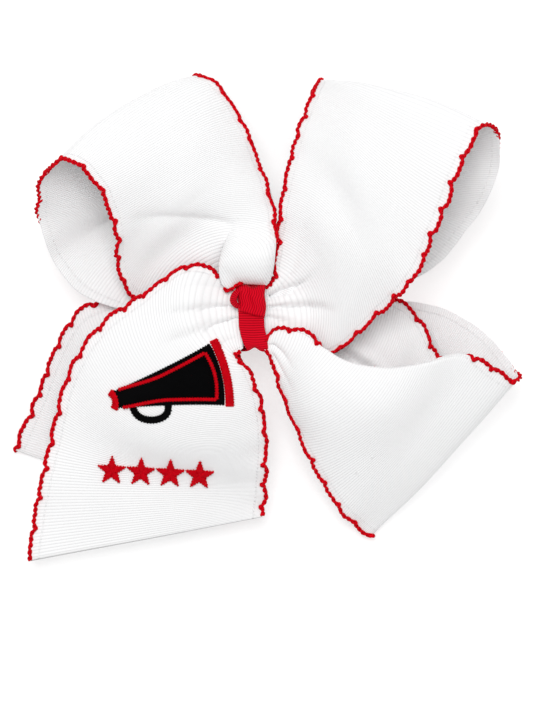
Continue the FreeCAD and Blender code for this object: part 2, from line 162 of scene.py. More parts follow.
# t runs from 0 to 1 through a run's stations, and a loop turns back under itself about its middle.
# edging_back: the t past which the edging lies on the far face. A tail's never does.
# creases: (place across, depth mm, width across, reach mm, on the front), valleys that fan out of the pinch.
# dents: (front-view points the valley follows, depth mm, half width mm), folds at their own places.
# rolled: (edge, from, to), where the border turns under itself. pleats: depth mm of small tucks by edge a.
RUNS = {
    "loop_upper_right": dict(
        stations=UPPER_RIGHT, looped=True, edging_back=0.585, rolled=None, pleats=0.0,
        creases=[(0.16, 1.4, 0.05, 18, True), (0.3, 2.0, 0.08, 20, False), (0.7, 2.0, 0.08, 20, False)],
        dents=[([(4, 7.6), (10, 9.4), (16.5, 12.4), (24.5, 19.5)], 5.0, 1.6),
               ([(4, 3.8), (14, 4.0), (22, 3.8), (30, 2.0)], 4.4, 1.4),
               ([(4, 0.8), (9, -0.9), (14, -3.2)], 1.8, 1.3)]),
    "loop_upper_left": dict(
        stations=UPPER_LEFT, looped=True, edging_back=0.70, rolled=None, pleats=0.0,
        creases=[(0.35, 2.0, 0.08, 20, False), (0.7, 2.0, 0.08, 20, False)],
        dents=[([(-10, 33.5), (-24, 35), (-38, 34.6), (-50, 33.6)], 1.7, 2.6),
               ([(-9, 18), (-20, 17), (-34, 13)], 1.0, 3.0)]),
    "loop_lower_left": dict(
        stations=LOWER_LEFT, looped=True, edging_back=0.6, rolled=None, pleats=0.0,
        creases=[(0.3, 1.0, 0.08, 20, True), (0.7, 1.0, 0.08, 20, True), (0.5, 1.0, 0.08, 20, False)],
        dents=[]),
    "loop_lower_right": dict(
        stations=LOWER_RIGHT, looped=True, edging_back=0.53, rolled=(1, 0.135, 0.43), pleats=0.0,
        creases=[(0.18, 4.0, 0.06, 34, False), (0.42, 4.3, 0.06, 34, False), (0.66, 4.0, 0.06, 34, False)],
        dents=[([(6, -9), (10, -13), (14, -20)], 1.3, 1.6), ([(6, -12.5), (10, -20), (14, -30)], 0.9, 1.4)]),
    "tail_front": dict(
        stations=FRONT_TAIL, looped=False, edging_back=2.0, rolled=None, pleats=0.0,
        creases=[(0.80, 0.8, 0.05, 10, True), (0.14, 0.8, 0.05, 12, True)],
        dents=[([(-6.5, 4.4), (-20, 3.2), (-38, 1.6)], 2.6, 1.6),
               ([(-6.5, 0.2), (-20, -4.4), (-37, -10)], 2.2, 1.7)]),
    "tail_inner": dict(
        stations=INNER_TAIL, looped=False, edging_back=2.0, rolled=None, pleats=2.5,
        creases=[(0.3, 1.2, 0.07, 18, True), (0.68, 1.2, 0.07, 18, True)],
        dents=[]),
}
DENT_SAMPLES = 40                       # places on a dent's line
ROLL_RADIUS = 1.1                       # of a border turned under, mm
LOWEST_CLOTH, LOWEST_EDGING = -4.65, -5.0   # no middle of the cloth or of the edging lies lower, mm
SCALLOP_MEAN = 0.35                     # the swell at which the edging crosses the border's own line
SCALLOP_LOSS = 0.85                     # share of the scallops' depth lost where the edging lies behind
EDGING_PULL = 1.3                       # how far inside the border it lies there, mm
PICOT_SPACING = (0.72, 1.25)            # least and most, as shares of the scallop pitch
STITCH_PITCH, STITCH_INSET, STITCH_HALF = 0.0022, 0.0029, 0.00022   # bobbin stitches by a border, m
# The lobe over the knot, from bottom to top: left side, right side, crest height, and dip of the middle, mm.
LOBE = [
    (-12.0, 12.4, 19.8, 3.6, 11.4, 17.2, 19.2, 0),
    (-12.6, 16.6, 21.8, 5.0, 13.8, 18.0, 23.0, 0.8),
    (-12.4, 20.0, 22.2, 6.0, 17.5, 19.0, 25.4, 0.3),
    (-11.2, 24.5, 21.4, 6.5, 22.0, 20.0, 26.0, 0),
    (-9.6, 29.0, 20.8, 6.9, 27.0, 20.3, 25.4, 0),
    (-10.5, 34.5, 20.0, 7.0, 33.0, 20.0, 24.4, 0),
    (-14.0, 41.0, 20.0, 6.0, 40.0, 19.6, 23.5, 0),
    (-19.0, 49.0, 20.0, 4.0, 48.0, 19.4, 22.5, 0),
]
LOBE_RIBS = (0.85, 0.5)                 # front-view direction across the ribs by the knot
GATHER_SPAN = (-6.4, 4.9)               # the pinched bar's ends in x, mm
GATHER_HALF, GATHER_Z = (9.6, 2.9), 12.4    # the pinched bar's half sizes in y and z, and its middle, mm
WRAP_HALF, WRAP_Z = (11.3, 5.35), 13.5      # the same of the band round it
# Down the wrap's front: y, left side, right side, mm. Behind it the band is even.
WRAP_SIDES = np.array([(-12.2, -2.5, 4.4), (-9.0, -4.2, 4.1), (-7.0, -5.0, 3.8), (-3.1, -5.9, 3.0),
                       (3.8, -6.1, 2.7), (10.7, -5.8, 3.0)])
WRAP_BACK = (-5.2, 3.7)
FLAP_TOP, FLAP_LOW, FLAP_Z = 11.7, 1.7, 16.2  # the crossing turn's ends in y, and the height under it, mm
EAR = [(-4.4, 10.0, 20.4), (-6.6, 9.4, 20.6), (-8.1, 7.6, 20.7), (-8.3, 5.6, 20.7), (-7.0, 4.0, 20.6),
       (-4.8, 3.2, 20.4)]
# The megaphone and the stars lie on the front tail; sizes in mm, turns in degrees.
HORN_CENTRE, HORN_TURN = (-31.0, -24.0), 14
HORN_LENGTH, HORN_THROAT, HORN_MOUTH = 42.0, 5.0, 24.0
HORN_LINE_START, HORN_LINE_END = 4.6, 5.4   # the red line inside the cone, from its throat and from its mouth
HORN_LINE_INSET = 2.1                       # in from the cone's border, growing from the throat to the middle
STAR_RADIUS, STAR_PITCH, STAR_COUNT = 5.3, 10.2, 4
STAR_FIRST, STAR_ROW_TURN = (-50.3, -53.2), -3
# A star's arm is a kite, widest at its waist and begun past the middle by the overlap, shares of the radius.
STAR_WAIST, STAR_OVERLAP = 0.42, 0.07


# ---------------------------------------------------------------- properties
class BowSizes(bpy.types.PropertyGroup):
    """Sizes that the pieces share."""
    ribbon_thick: bpy.props.FloatProperty(
        name="Ribbon thickness", description="Thickness of the grosgrain", default=0.00055, unit="LENGTH")
    scallop_pitch: bpy.props.FloatProperty(
        name="Scallop pitch", description="From one picot of the edging to the next", default=0.0102,
        unit="LENGTH")
    scallop_bow: bpy.props.FloatProperty(
        name="Scallop bow", description="How far the edging bows out between picots", default=0.00085,
        unit="LENGTH")
    picot_depth: bpy.props.FloatProperty(
        name="Picot depth", description="How far each picot stitch bites into the ribbon", default=0.0005,
        unit="LENGTH")
    strand_radius: bpy.props.FloatProperty(
        name="Strand radius", description="Radius of one of the edging's two strands", default=0.00047,
        unit="LENGTH")
    strand_twist: bpy.props.FloatProperty(
        name="Strand twist", description="Length of one full turn of the edging's strands", default=0.0042,
        unit="LENGTH")
    rib_pitch: bpy.props.FloatProperty(
        name="Rib pitch", description="From one grosgrain rib to the next", default=0.00082, unit="LENGTH")
    wrap_rib_pitch: bpy.props.FloatProperty(
        name="Wrap rib pitch", description="From one rib of the wrap ribbon to the next", default=0.0008,
        unit="LENGTH")


class BowColours(bpy.types.PropertyGroup):
    """Colours of the bow."""
    ribbon: bpy.props.FloatVectorProperty(
        name="Ribbon", description="White grosgrain", subtype="COLOR", size=4,
        default=(0.94, 0.94, 0.945, 1.0))
    thread: bpy.props.FloatVectorProperty(
        name="Edging thread", description="Red edging and embroidery", subtype="COLOR", size=4,
        default=(0.66, 0.0012, 0.008, 1.0))
    wrap: bpy.props.FloatVectorProperty(
        name="Wrap ribbon", description="Red wrap ribbon", subtype="COLOR", size=4,
        default=(0.76, 0.001, 0.016, 1.0))
    ink: bpy.props.FloatVectorProperty(
        name="Dark thread", description="Black embroidery thread", subtype="COLOR", size=4,
        default=(0.0015, 0.0015, 0.0018, 1.0))


def sizes():
    return bpy.context.scene.bow_sizes


def colours():
    return bpy.context.scene.bow_colours


# ---------------------------------------------------------------- curves and surfaces
def smooth(x, low, high):
    """Smooth step from 0 at low to 1 at high."""
    t = np.clip((x - low) / (high - low), 0.0, 1.0)
    return t * t * (3 - 2 * t)


def catmull(points, t):
    """Catmull-Rom curve through evenly spaced rows of points at t in 0..1."""
    points = np.asarray(points, float)
    padded = np.vstack([2 * points[0] - points[1], points, 2 * points[-1] - points[-2]])
    place = np.clip(t, 0.0, 1.0) * (len(points) - 1)
    i = np.minimum(place.astype(int), len(points) - 2)
    f = (place - i)[:, None]
    p0, p1, p2, p3 = padded[i], padded[i + 1], padded[i + 2], padded[i + 3]
    return 0.5 * (2 * p1 + (p2 - p0) * f + (2 * p0 - 5 * p1 + 4 * p2 - p3) * f ** 2
                  + (3 * p1 - p0 - 3 * p2 + p3) * f ** 3)


def unit(vectors):
    """Vectors scaled to length one along the last axis."""
    return vectors / np.maximum(np.linalg.norm(vectors, axis=-1, keepdims=True), 1e-12)


def arc_length(points):
    """Running length along rows of points."""
    return np.concatenate([[0.0], np.cumsum(np.linalg.norm(np.diff(points, axis=0), axis=1))])


def grid_normals(grid):
    """Unit normals of a grid of points by central differences."""
    return unit(np.cross(np.gradient(grid, axis=0), np.gradient(grid, axis=1)))


def fan_lines(a, b, across):
    """Lines from edge a to edge b, bent into arcs about the knot where the ribbon fans out of the pinch.

    In the front view, radius and angle about the knot each run evenly from a to b; height runs evenly too.
    The arc gives way to the straight line close to the pinch and again far from it.
    """
    straight = a[:, None] + (b - a)[:, None] * across[None, :, None]
    pa, pb = a[:, :2] - KNOT, b[:, :2] - KNOT
    ra, rb = np.linalg.norm(pa, axis=1), np.linalg.norm(pb, axis=1)
    ta = np.arctan2(pa[:, 1], pa[:, 0])
    turn = (np.arctan2(pb[:, 1], pb[:, 0]) - ta + math.pi) % (2 * math.pi) - math.pi
    radius = ra[:, None] + (rb - ra)[:, None] * across
    angle = ta[:, None] + turn[:, None] * across
    arc = straight.copy()
    arc[..., 0] = KNOT[0] + radius * np.cos(angle)
    arc[..., 1] = KNOT[1] + radius * np.sin(angle)
    middle = (ra + rb) / 2
    weight = smooth(middle, FAN_START, FAN_FULL) * (1 - smooth(middle, FAN_EASE, FAN_END))
    return straight + (arc - straight) * weight[:, None, None]


def run_surface(spec, step=1.0, columns=81):
    """Middle surface of a ribbon run, mm: points, right-side normals, length along, place across, and t.

    Rows are Catmull-Rom lines through the stations, a step apart along the middle. Columns crowd towards both
    borders. Each line is fanned about the knot, humped by its crown, then dented, pleated and rolled, and the
    whole is kept above the table.
    """
    table = np.array([list(a) + list(b) + [c] for a, b, c in spec["stations"]], float)
    fine = np.linspace(0, 1, 600)
    length = arc_length(catmull((table[:, :3] + table[:, 3:6]) / 2, fine))
    along = np.linspace(0, length[-1], int(length[-1] / step) + 1)
    t = np.interp(along, length, fine)
    even = np.linspace(0, 1, columns)
    across = 0.4 * even + 0.6 * (1 - np.cos(math.pi * even)) / 2
    line = catmull(table, t)
    points = fan_lines(line[:, :3], line[:, 3:6], across)
    normals = right_side(points)
    points = points + normals * (line[:, 6, None] * 4 * across * (1 - across))[..., None]
    height = creases(spec, points, across, t) + dents(spec, points, t) + wobble(spec, along, across)
    height = height - pleats(spec, along, across)
    points = points + normals * height[..., None]
    if spec["rolled"]:
        points = rolled_under(points, right_side(points), spec["rolled"], t)
    points[..., 2] = settled(points[..., 2], LOWEST_CLOTH)
    return points, right_side(points), along, across, t


def settled(z, lowest):
    """Heights kept above the lowest: lowest + 0.3 ln(1 + exp((z - lowest) / 0.3)), mm."""
    return lowest + 0.3 * np.logaddexp(0, (z - lowest) / 0.3)


def right_side(points):
    """Grid normals that face the viewer on the front of the run."""
    normals = grid_normals(points)
    return normals if normals[len(points) // 8, points.shape[1] // 2, 2] > 0 else -normals


def creases(spec, points, across, t):
    """Height of the pleats: valleys at fixed places across, dying out away from the pinch.

    Each is -depth exp(-(|across - place| / spread)^1.2), faded in past the wrap and out over its reach.
    """
    away = np.linalg.norm(points[..., :2] - KNOT, axis=-1)
    front = (1 - smooth(t, 0.42, 0.5))[:, None] if spec["looped"] else 1.0
    back = smooth(t, 0.55, 0.62)[:, None] if spec["looped"] else 0.0
    height = np.zeros(points.shape[:2])
    for place, depth, width, reach, on_front in spec["creases"]:
        spread = width * (1 + np.clip(away - 10, 0, None) / 40)
        valley = np.exp(-(np.abs(across - place) / spread) ** 1.2)
        fade = smooth(away, 8, 14) * np.exp(-np.clip(away - 14, 0, None) / reach)
        height = height - depth * valley * fade * (front if on_front else back)
    return height


def dents(spec, points, t):
    """Height of folds that follow a front-view line, fading past the first third of it.

    Each is -depth exp(-(distance to the line / spread)^1.05). The spread grows along the line and is less
    above it than below, like one pleat lying over the next.
    """
    front = (1 - smooth(t, 0.36, 0.42))[:, None] if spec["looped"] else 1.0
    height = np.zeros(points.shape[:2])
    for line, depth, half_width in spec["dents"]:
        line = catmull(line, np.linspace(0, 1, DENT_SAMPLES))
        offset = points[:, :, None, :2] - line
        gap = np.sqrt((offset ** 2).sum(-1))
        nearest = gap.argmin(-1)
        distance, place = gap.min(-1), nearest / (DENT_SAMPLES - 1)
        above = np.take_along_axis(offset[..., 1], nearest[..., None], axis=-1)[..., 0] > 0
        spread = half_width * (0.5 + 0.9 * place) * np.where(above, 0.55, 1.4)
        fade = (1 - smooth(place, 0.35, 1.0)) * front
        height = height - depth * np.exp(-(distance / spread) ** 1.05) * fade
    return height


def pleats(spec, along, across):
    """Depth of small tucks by edge a, 6 waves across the width, growing from the pinch."""
    wave = np.sin(12 * math.pi * across) * (1 - smooth(across, 0.5, 0.7))
    return spec["pleats"] * wave[None, :] * smooth(along, 6, 20)[:, None]


def wobble(spec, along, across):
    """Height of small uneven waves: sines of the length and the place across, stronger by the borders."""
    s, v = along[:, None], across[None, :]
    phase = len(spec["stations"]) * 1.7 + len(spec["creases"])
    inner = smooth(s, 15, 40) * (smooth(along[-1] - s, 15, 40) if spec["looped"] else 1.0)
    broad = 0.35 * np.sin(s / 9.5 + 3.1 * v + phase) * np.sin(2.6 * v * math.pi + phase)
    broad = broad + 0.22 * np.sin(s / 5.3 - 4.7 * v + 2 * phase)
    border = np.exp(-np.minimum(v, 1 - v) * RIBBON_WIDTH / 5.0)
    ripple = 0.45 * border * np.sin(2 * math.pi * s / 17.6 + 5 * (v > 0.5) + phase)
    return (broad + ripple) * inner


def rolled_under(points, normals, rolled, t):
    """Points with one border turned under over part of the run.

    Past the fold the cloth follows a half circle of the roll's radius back beneath itself. The cloth before
    it is let out, less and less over 12 mm, so that the fold lies where the border was.
    """
    edge, start, stop = rolled
    if edge:
        points, normals = points[:, ::-1], normals[:, ::-1]
    weight = smooth(t, start, start + 0.05) * (1 - smooth(t, stop - 0.05, stop))
    steps = np.linalg.norm(np.diff(points, axis=1), axis=2)
    inset = np.concatenate([np.zeros((len(points), 1)), np.cumsum(steps, axis=1)], axis=1)
    outward = unit(points[:, 0] - points[:, 8])[:, None]
    turn = math.pi * ROLL_RADIUS
    past = np.clip(turn - inset, 0, None)
    angle = past / ROLL_RADIUS
    shift = (turn - ROLL_RADIUS) * np.exp(-np.clip(inset - turn, 0, None) / 12)
    shift = shift + ROLL_RADIUS * np.sin(angle) - past
    drop = ROLL_RADIUS * (1 - np.cos(angle))
    moved = outward * shift[..., None] - normals * drop[..., None]
    points = points + moved * weight[:, None, None]
    return points[:, ::-1] if edge else points


def picot_places(seed, length):
    """Uneven places of the picots along a border, mm."""
    random = np.random.default_rng(seed)
    pitch = sizes().scallop_pitch / MM
    least, most = PICOT_SPACING
    return np.cumsum(pitch * random.uniform(least, most, int(length / pitch / least) + 3)) - pitch


def scallop(s, picots):
    """Swell of the border at s, 0 at a picot and 1 about halfway, and the distance to the nearest picot."""
    after = np.clip(np.searchsorted(picots, s), 1, len(picots) - 1)
    low, high = picots[after - 1], picots[after]
    swell = np.sin(math.pi * np.clip((s - low) / (high - low), 0, 1) ** 0.85) ** 0.9
    return swell, np.minimum(np.abs(s - low), np.abs(high - s))


def behind(spec, t):
    """0 on the front of a run, 1 past the t where its edging lies on the far face."""
    return smooth(t, spec["edging_back"], spec["edging_back"] + 0.07)


def borders(spec, points, normals, t):
    """Both borders before their scallops.

    Each is its running length, t, points, outward and right-side directions, and picot places.
    """
    found = []
    for edge, near in ((0, 4), (-1, -5)):
        run = arc_length(points[:, edge])
        outward = unit(points[:, edge] - points[:, near])
        picots = picot_places(spec["seed"] * 2 - edge, run[-1])
        found.append((run, t, points[:, edge], outward, normals[:, edge], picots))
    return found


def scalloped(points, spec, across):
    """Ribbon points with each border drawn in at the picots and let out between them, less so behind."""
    bow = sizes().scallop_bow / MM
    for (run, t, _, outward, _, picots), inset in zip(spec["borders"], (across, 1 - across)):
        swell, _ = scallop(run, picots)
        reach = bow * (swell - SCALLOP_MEAN) * (1 - SCALLOP_LOSS * behind(spec, t)) - 0.25
        weight = np.exp(-inset * RIBBON_WIDTH / 2.0)
        points = points + (outward * reach[:, None])[:, None, :] * weight[None, :, None]
    return points


def laid_on(name, x, y):
    """Height, normal and length coordinate of a run's front at front-view places, mm.

    Each is the mean over the four nearest grid points, weighted by inverse square distance. The height is
    taken from their tangent planes.
    """
    points, normals, along = RUNS[name]["surface"]
    rows = int(len(points) * (0.4 if RUNS[name]["looped"] else 1.0))
    place, lean = points[:rows].reshape(-1, 3), normals[:rows].reshape(-1, 3)
    length = np.repeat(along[:rows], points.shape[1])
    near = np.abs(place[:, 0] - x.mean()) < np.ptp(x) / 2 + 4
    near &= np.abs(place[:, 1] - y.mean()) < np.ptp(y) / 2 + 9
    near &= lean[:, 2] > 0.2
    place, lean, length = place[near].astype(np.float32), lean[near], length[near]
    dx = x.reshape(-1, 1).astype(np.float32) - place[:, 0]
    dy = y.reshape(-1, 1).astype(np.float32) - place[:, 1]
    away = dx * dx + dy * dy
    best = np.argpartition(away, 4, axis=1)[:, :4]
    dx, dy, away = (np.take_along_axis(a, best, axis=1) for a in (dx, dy, away))
    weight = 1 / (away + 0.02)
    weight = weight / weight.sum(axis=1, keepdims=True)
    plane = place[best, 2] - (lean[best, 0] * dx + lean[best, 1] * dy) / lean[best, 2]
    height = (plane * weight).sum(axis=1).reshape(x.shape)
    normal = unit((lean[best] * weight[..., None]).sum(axis=1)).reshape(x.shape + (3,))
    return height, normal, (length[best] * weight).sum(axis=1).reshape(x.shape)


# ---------------------------------------------------------------- mesh helpers
def mesh_object(name, points, faces):
    """Smooth-shaded object at the origin from arrays of points (m) and faces."""
    mesh = bpy.data.meshes.new(name)
    mesh.from_pydata(points.reshape(-1, 3).tolist(), [], faces.tolist())
    mesh.polygons.foreach_set("use_smooth", np.full(len(mesh.polygons), True))
    mesh.update()
    piece = bpy.data.objects.new(name, mesh)
    bpy.context.scene.collection.objects.link(piece)
    return piece


def grid_faces(rows, columns, flip=False, around=False, closed=False):
    """Quads of a grid of points, joined up around its columns or closed along its rows if asked."""
    i = np.arange(rows if closed else rows - 1)[:, None]
    j = np.arange(columns if around else columns - 1)[None, :]
    n, k = (i + 1) % rows, (j + 1) % columns
    quads = np.stack([i * columns + j, n * columns + j, n * columns + k, i * columns + k], axis=-1)
    quads = quads.reshape(-1, 4)
    return quads[:, ::-1] if flip else quads


def set_uv(piece, u, v):
    """UV map of a piece from one (u, v) pair per point."""
    mesh = piece.data
    layer = mesh.uv_layers.new(name="cloth")
    corner = np.empty(len(mesh.loops), np.int32)
    mesh.loops.foreach_get("vertex_index", corner)
    pairs = np.stack([np.asarray(u).ravel()[corner], np.asarray(v).ravel()[corner]], axis=-1)
    layer.data.foreach_set("uv", pairs.astype(np.float32).ravel())


def tube(path, radius, sides=6):
    """Points and quads of a tube of varying radius along a path, both ends closed to a point."""
    tangent = unit(np.gradient(path, axis=0))
    side = unit(np.cross(tangent, UP))
    other = np.cross(side, tangent)
    angle = np.linspace(0, 2 * math.pi, sides, endpoint=False)
    radius = radius.copy()
    radius[0] = radius[-1] = 1e-6
    ring = side[:, None] * np.cos(angle)[None, :, None] + other[:, None] * np.sin(angle)[None, :, None]
    return path[:, None] + ring * radius[:, None, None], grid_faces(len(path), sides, around=True)


def joined(parts):
    """One pair of arrays from several (points, faces) pairs."""
    points, faces, count = [], [], 0
    for p, f in parts:
        points.append(p.reshape(-1, 3))
        faces.append(f + count)
        count += len(points[-1])
    return np.concatenate(points), np.concatenate(faces)


def stacked(arrays):
    """Arrays of any shape laid end to end."""
    return np.concatenate([np.asarray(a).ravel() for a in arrays])


def along_run(s, run, rows):
    """Rows of values given along a run, read at the places s."""
    return np.stack([np.interp(s, run, rows[:, k]) for k in range(rows.shape[1])], axis=-1)


def rounded_section(angle, half_y, half_z):
    """Rounded rectangle as y and z at each angle: cosine and sine raised to 2/4.5, with their signs."""
    c, s = np.cos(angle), np.sin(angle)
    return half_y * np.sign(c) * np.abs(c) ** (2 / 4.5), half_z * np.sign(s) * np.abs(s) ** (2 / 4.5)


def satin(path, half, thick, bulge=0.0, base=0.2, columns=16, seed=0):
    """One satin-stitched column on the front tail, as (points, quads, length along, place across) in mm.

    About the path in the front view, each row is a closed loop: half the width times cosine aside, and thick
    times the square root of sine up, flat below. Its middle leans along the path by the bulge. The ends close
    flat, and the borders are ragged by two sines of the length.
    """
    run = arc_length(path)
    tangent = unit(np.gradient(path, axis=0))
    aside = np.stack([-tangent[:, 1], tangent[:, 0]], axis=-1)
    angle = np.linspace(0, 2 * math.pi, columns, endpoint=False)
    c, s = np.cos(angle), np.sin(angle)
    teeth = 0.17 * np.sin(2 * math.pi * run / 0.95 + seed)
    teeth = teeth + 0.10 * np.sin(2 * math.pi * run / 0.61 + 2 * seed)
    reach = np.maximum(half + teeth, 0.02)[:, None] * c
    flat = path[:, None] + aside[:, None] * reach[..., None]
    forward = bulge * (1 - c * c) * np.clip(half / half.max(), 0, 1)[:, None]
    flat = flat + tangent[:, None] * forward[..., None]
    ends = smooth(run, 0, 0.5) * smooth(run[-1] - run, 0, 0.5)
    arch = np.where(s > 0, np.abs(s) ** 0.5, 0.0)
    lift = base + thick * arch * ends[:, None] - 0.15 * (s < -0.01) * ends[:, None]
    height, normal, _ = laid_on("tail_front", flat[..., 0], flat[..., 1])
    points = np.dstack([flat, height]) + normal * lift[..., None]
    shape = points.shape[:2]
    quads = grid_faces(*shape, flip=True, around=True)
    return points, quads, np.broadcast_to(run[:, None], shape), np.broadcast_to(reach, shape)


def strand_piece(name, strands, material):
    """One piece from several (points, quads, length along, place across) in mm, mapped by the last two."""
    points, quads, lengths, places = zip(*strands)
    vertices, faces = joined(zip(points, quads))
    piece = mesh_object(name, vertices * MM, faces)
    set_uv(piece, stacked(lengths) * MM, stacked(places))
    piece.data.materials.append(material)
    return piece


def cloth_piece(name, points, faces, length, width, material, thickness=None):
    """One piece of cloth from mm, mapped by its length and width, and solid where it has a thickness (m)."""
    piece = mesh_object(name, points * MM, faces)
    shape = points.shape[:-1]
    set_uv(piece, np.broadcast_to(length, shape) * MM, np.broadcast_to(width, shape) * MM)
    if thickness:
        solidify(piece, thickness)
    piece.data.materials.append(material)
    return piece


def finished(piece, node_name):
    """Ride a piece on the bow and hide the CAD node that it stands for."""
    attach(piece, BODY)
    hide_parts(node_name)


def solidify(piece, thickness):
    """Give a sheet its thickness, evenly about its middle."""
    layer = piece.modifiers.new("Thickness", "SOLIDIFY")
    layer.thickness = thickness
    layer.offset = 0.0


# ---------------------------------------------------------------- materials
def new_material(name):
    """Empty node material and its shader."""
    material = bpy.data.materials.new(name)
    material.use_nodes = True
    tree = material.node_tree
    return material, tree, tree.nodes["Principled BSDF"]


def node(tree, kind, **values):
    """New shader node with its properties set."""
    made = tree.nodes.new(kind)
    for key, value in values.items():
        setattr(made, key, value)
    return made


def feed(tree, socket, value):
    """Link a socket to another, or set it to a number or a colour."""
    if hasattr(value, "is_output"):
        tree.links.new(value, socket)
    else:
        socket.default_value = value


def maths(tree, operation, *values):
    """Result of a math node fed by sockets or numbers."""
    made = node(tree, "ShaderNodeMath", operation=operation)
    for socket, value in zip(made.inputs, values):
        feed(tree, socket, value)
    return made.outputs[0]


def times(tree, a, b):
    """Product of two sockets or numbers."""
    return maths(tree, "MULTIPLY", a, b)


def plus(tree, a, b):
    """Sum of two sockets or numbers."""
    return maths(tree, "ADD", a, b)


def sine_ridges(tree, phase):
    """Ridges |sin(pi phase)|, one to each unit of the phase."""
    return maths(tree, "ABSOLUTE", maths(tree, "SINE", times(tree, phase, math.pi)))


def blended(tree, factor, first, second):
    """Colour from the first to the second by a factor."""
    mix = node(tree, "ShaderNodeMix", data_type="RGBA")
    for name, value in (("Factor", factor), ("A", first), ("B", second)):
        feed(tree, mix.inputs[name], value)
    return mix.outputs["Result"]


def toned(colour, share):
    """Colour darkened, or lightened, to a share of itself."""
    return tuple(c * share for c in colour[:3]) + (1.0,)


def noise(tree, place, scale, detail=2.0):
    """Noise at a place, about 0.5."""
    made = node(tree, "ShaderNodeTexNoise")
    made.inputs["Scale"].default_value = scale
    made.inputs["Detail"].default_value = detail
    tree.links.new(place, made.inputs["Vector"])
    return made.outputs["Fac"]


def speckled(tree, scale, stretch=(1, 1, 1), detail=2.0):
    """Noise over the piece's own space, stretched along its axes."""
    coordinates = node(tree, "ShaderNodeTexCoord")
    mapping = node(tree, "ShaderNodeMapping")
    mapping.inputs["Scale"].default_value = stretch
    tree.links.new(coordinates.outputs["Object"], mapping.inputs["Vector"])
    return noise(tree, mapping.outputs["Vector"], scale, detail)


def bumped(tree, shader, height, distance):
    """Bump a shader's normal by a height."""
    bump = node(tree, "ShaderNodeBump")
    bump.inputs["Distance"].default_value = distance
    bump.inputs["Strength"].default_value = 1.0
    tree.links.new(height, bump.inputs["Height"])
    tree.links.new(bump.outputs["Normal"], shader.inputs["Normal"])


def grosgrain_group():
    """Node group: the height of grosgrain ribs that run across a ribbon, and their tone: painted shade in the
    grooves between the ribs, with a soft random variation.
    """
    if "Grosgrain ribs" in bpy.data.node_groups:
        return bpy.data.node_groups["Grosgrain ribs"]
    group = bpy.data.node_groups.new("Grosgrain ribs", "ShaderNodeTree")
    for name, default in (("Length", 0.0), ("Width", 0.0), ("Rib Pitch", 0.0008)):
        socket = group.interface.new_socket(name, in_out="INPUT", socket_type="NodeSocketFloat")
        socket.default_value = default
    for name in ("Height", "Shade"):
        group.interface.new_socket(name, in_out="OUTPUT", socket_type="NodeSocketFloat")
    inside = node(group, "NodeGroupInput")
    outside = node(group, "NodeGroupOutput")
    ribs = sine_ridges(group, maths(group, "DIVIDE", inside.outputs["Length"], inside.outputs["Rib Pitch"]))
    rounded = maths(group, "POWER", ribs, 0.6)
    position = node(group, "ShaderNodeCombineXYZ")
    group.links.new(inside.outputs["Length"], position.inputs["X"])
    group.links.new(inside.outputs["Width"], position.inputs["Y"])
    place = position.outputs["Vector"]
    fibre = times(group, noise(group, place, 1400.0, 3.0), 0.35)
    group.links.new(plus(group, rounded, fibre), outside.inputs["Height"])
    # Shade: painted shade, darker in the grooves between the ribs, plus a soft random tone.
    soft = times(group, noise(group, place, 55.0), 0.25)
    group.links.new(plus(group, times(group, rounded, 0.75), soft), outside.inputs["Shade"])
    return group


def cloth_coordinates(tree):
    """Length and width sockets of the piece's own cloth map."""
    uv = node(tree, "ShaderNodeUVMap", uv_map="cloth")
    parts = node(tree, "ShaderNodeSeparateXYZ")
    tree.links.new(uv.outputs["UV"], parts.inputs["Vector"])
    return parts.outputs["X"], parts.outputs["Y"]


def ribbon_material(name, colour, painted_groove_shade, pitch, relief, stitched=False, sheen=0.10, gloss=0.3):
    """Grosgrain: ribs as relief and as tone with painted shade in their grooves, a soft sheen, and if
    stitched a line of stitches by each border.
    """
    material, tree, shader = new_material(name)
    length, width = cloth_coordinates(tree)
    ribs = node(tree, "ShaderNodeGroup", node_tree=grosgrain_group())
    for socket, value in (("Length", length), ("Width", width), ("Rib Pitch", pitch)):
        feed(tree, ribs.inputs[socket], value)
    # Painted shade: the grooves between the ribs are darkened to a share of the colour.
    tone = blended(tree, ribs.outputs["Shade"], toned(colour, painted_groove_shade), tuple(colour))
    tree.links.new(tone, shader.inputs["Base Color"])
    height = ribs.outputs["Height"]
    if stitched:
        inset = maths(tree, "MINIMUM", width, maths(tree, "SUBTRACT", RIBBON_WIDTH * MM, width))
        aside = maths(tree, "ABSOLUTE", maths(tree, "SUBTRACT", inset, STITCH_INSET))
        line = maths(tree, "LESS_THAN", aside, STITCH_HALF)
        stitches = sine_ridges(tree, maths(tree, "DIVIDE", length, STITCH_PITCH))
        height = plus(tree, height, times(tree, times(tree, line, stitches), 2.2))
    bumped(tree, shader, height, relief)
    shader.inputs["Roughness"].default_value = 0.62
    shader.inputs["Sheen Weight"].default_value = sheen
    shader.inputs["Sheen Roughness"].default_value = 0.4
    shader.inputs["Specular IOR Level"].default_value = gloss
    return material


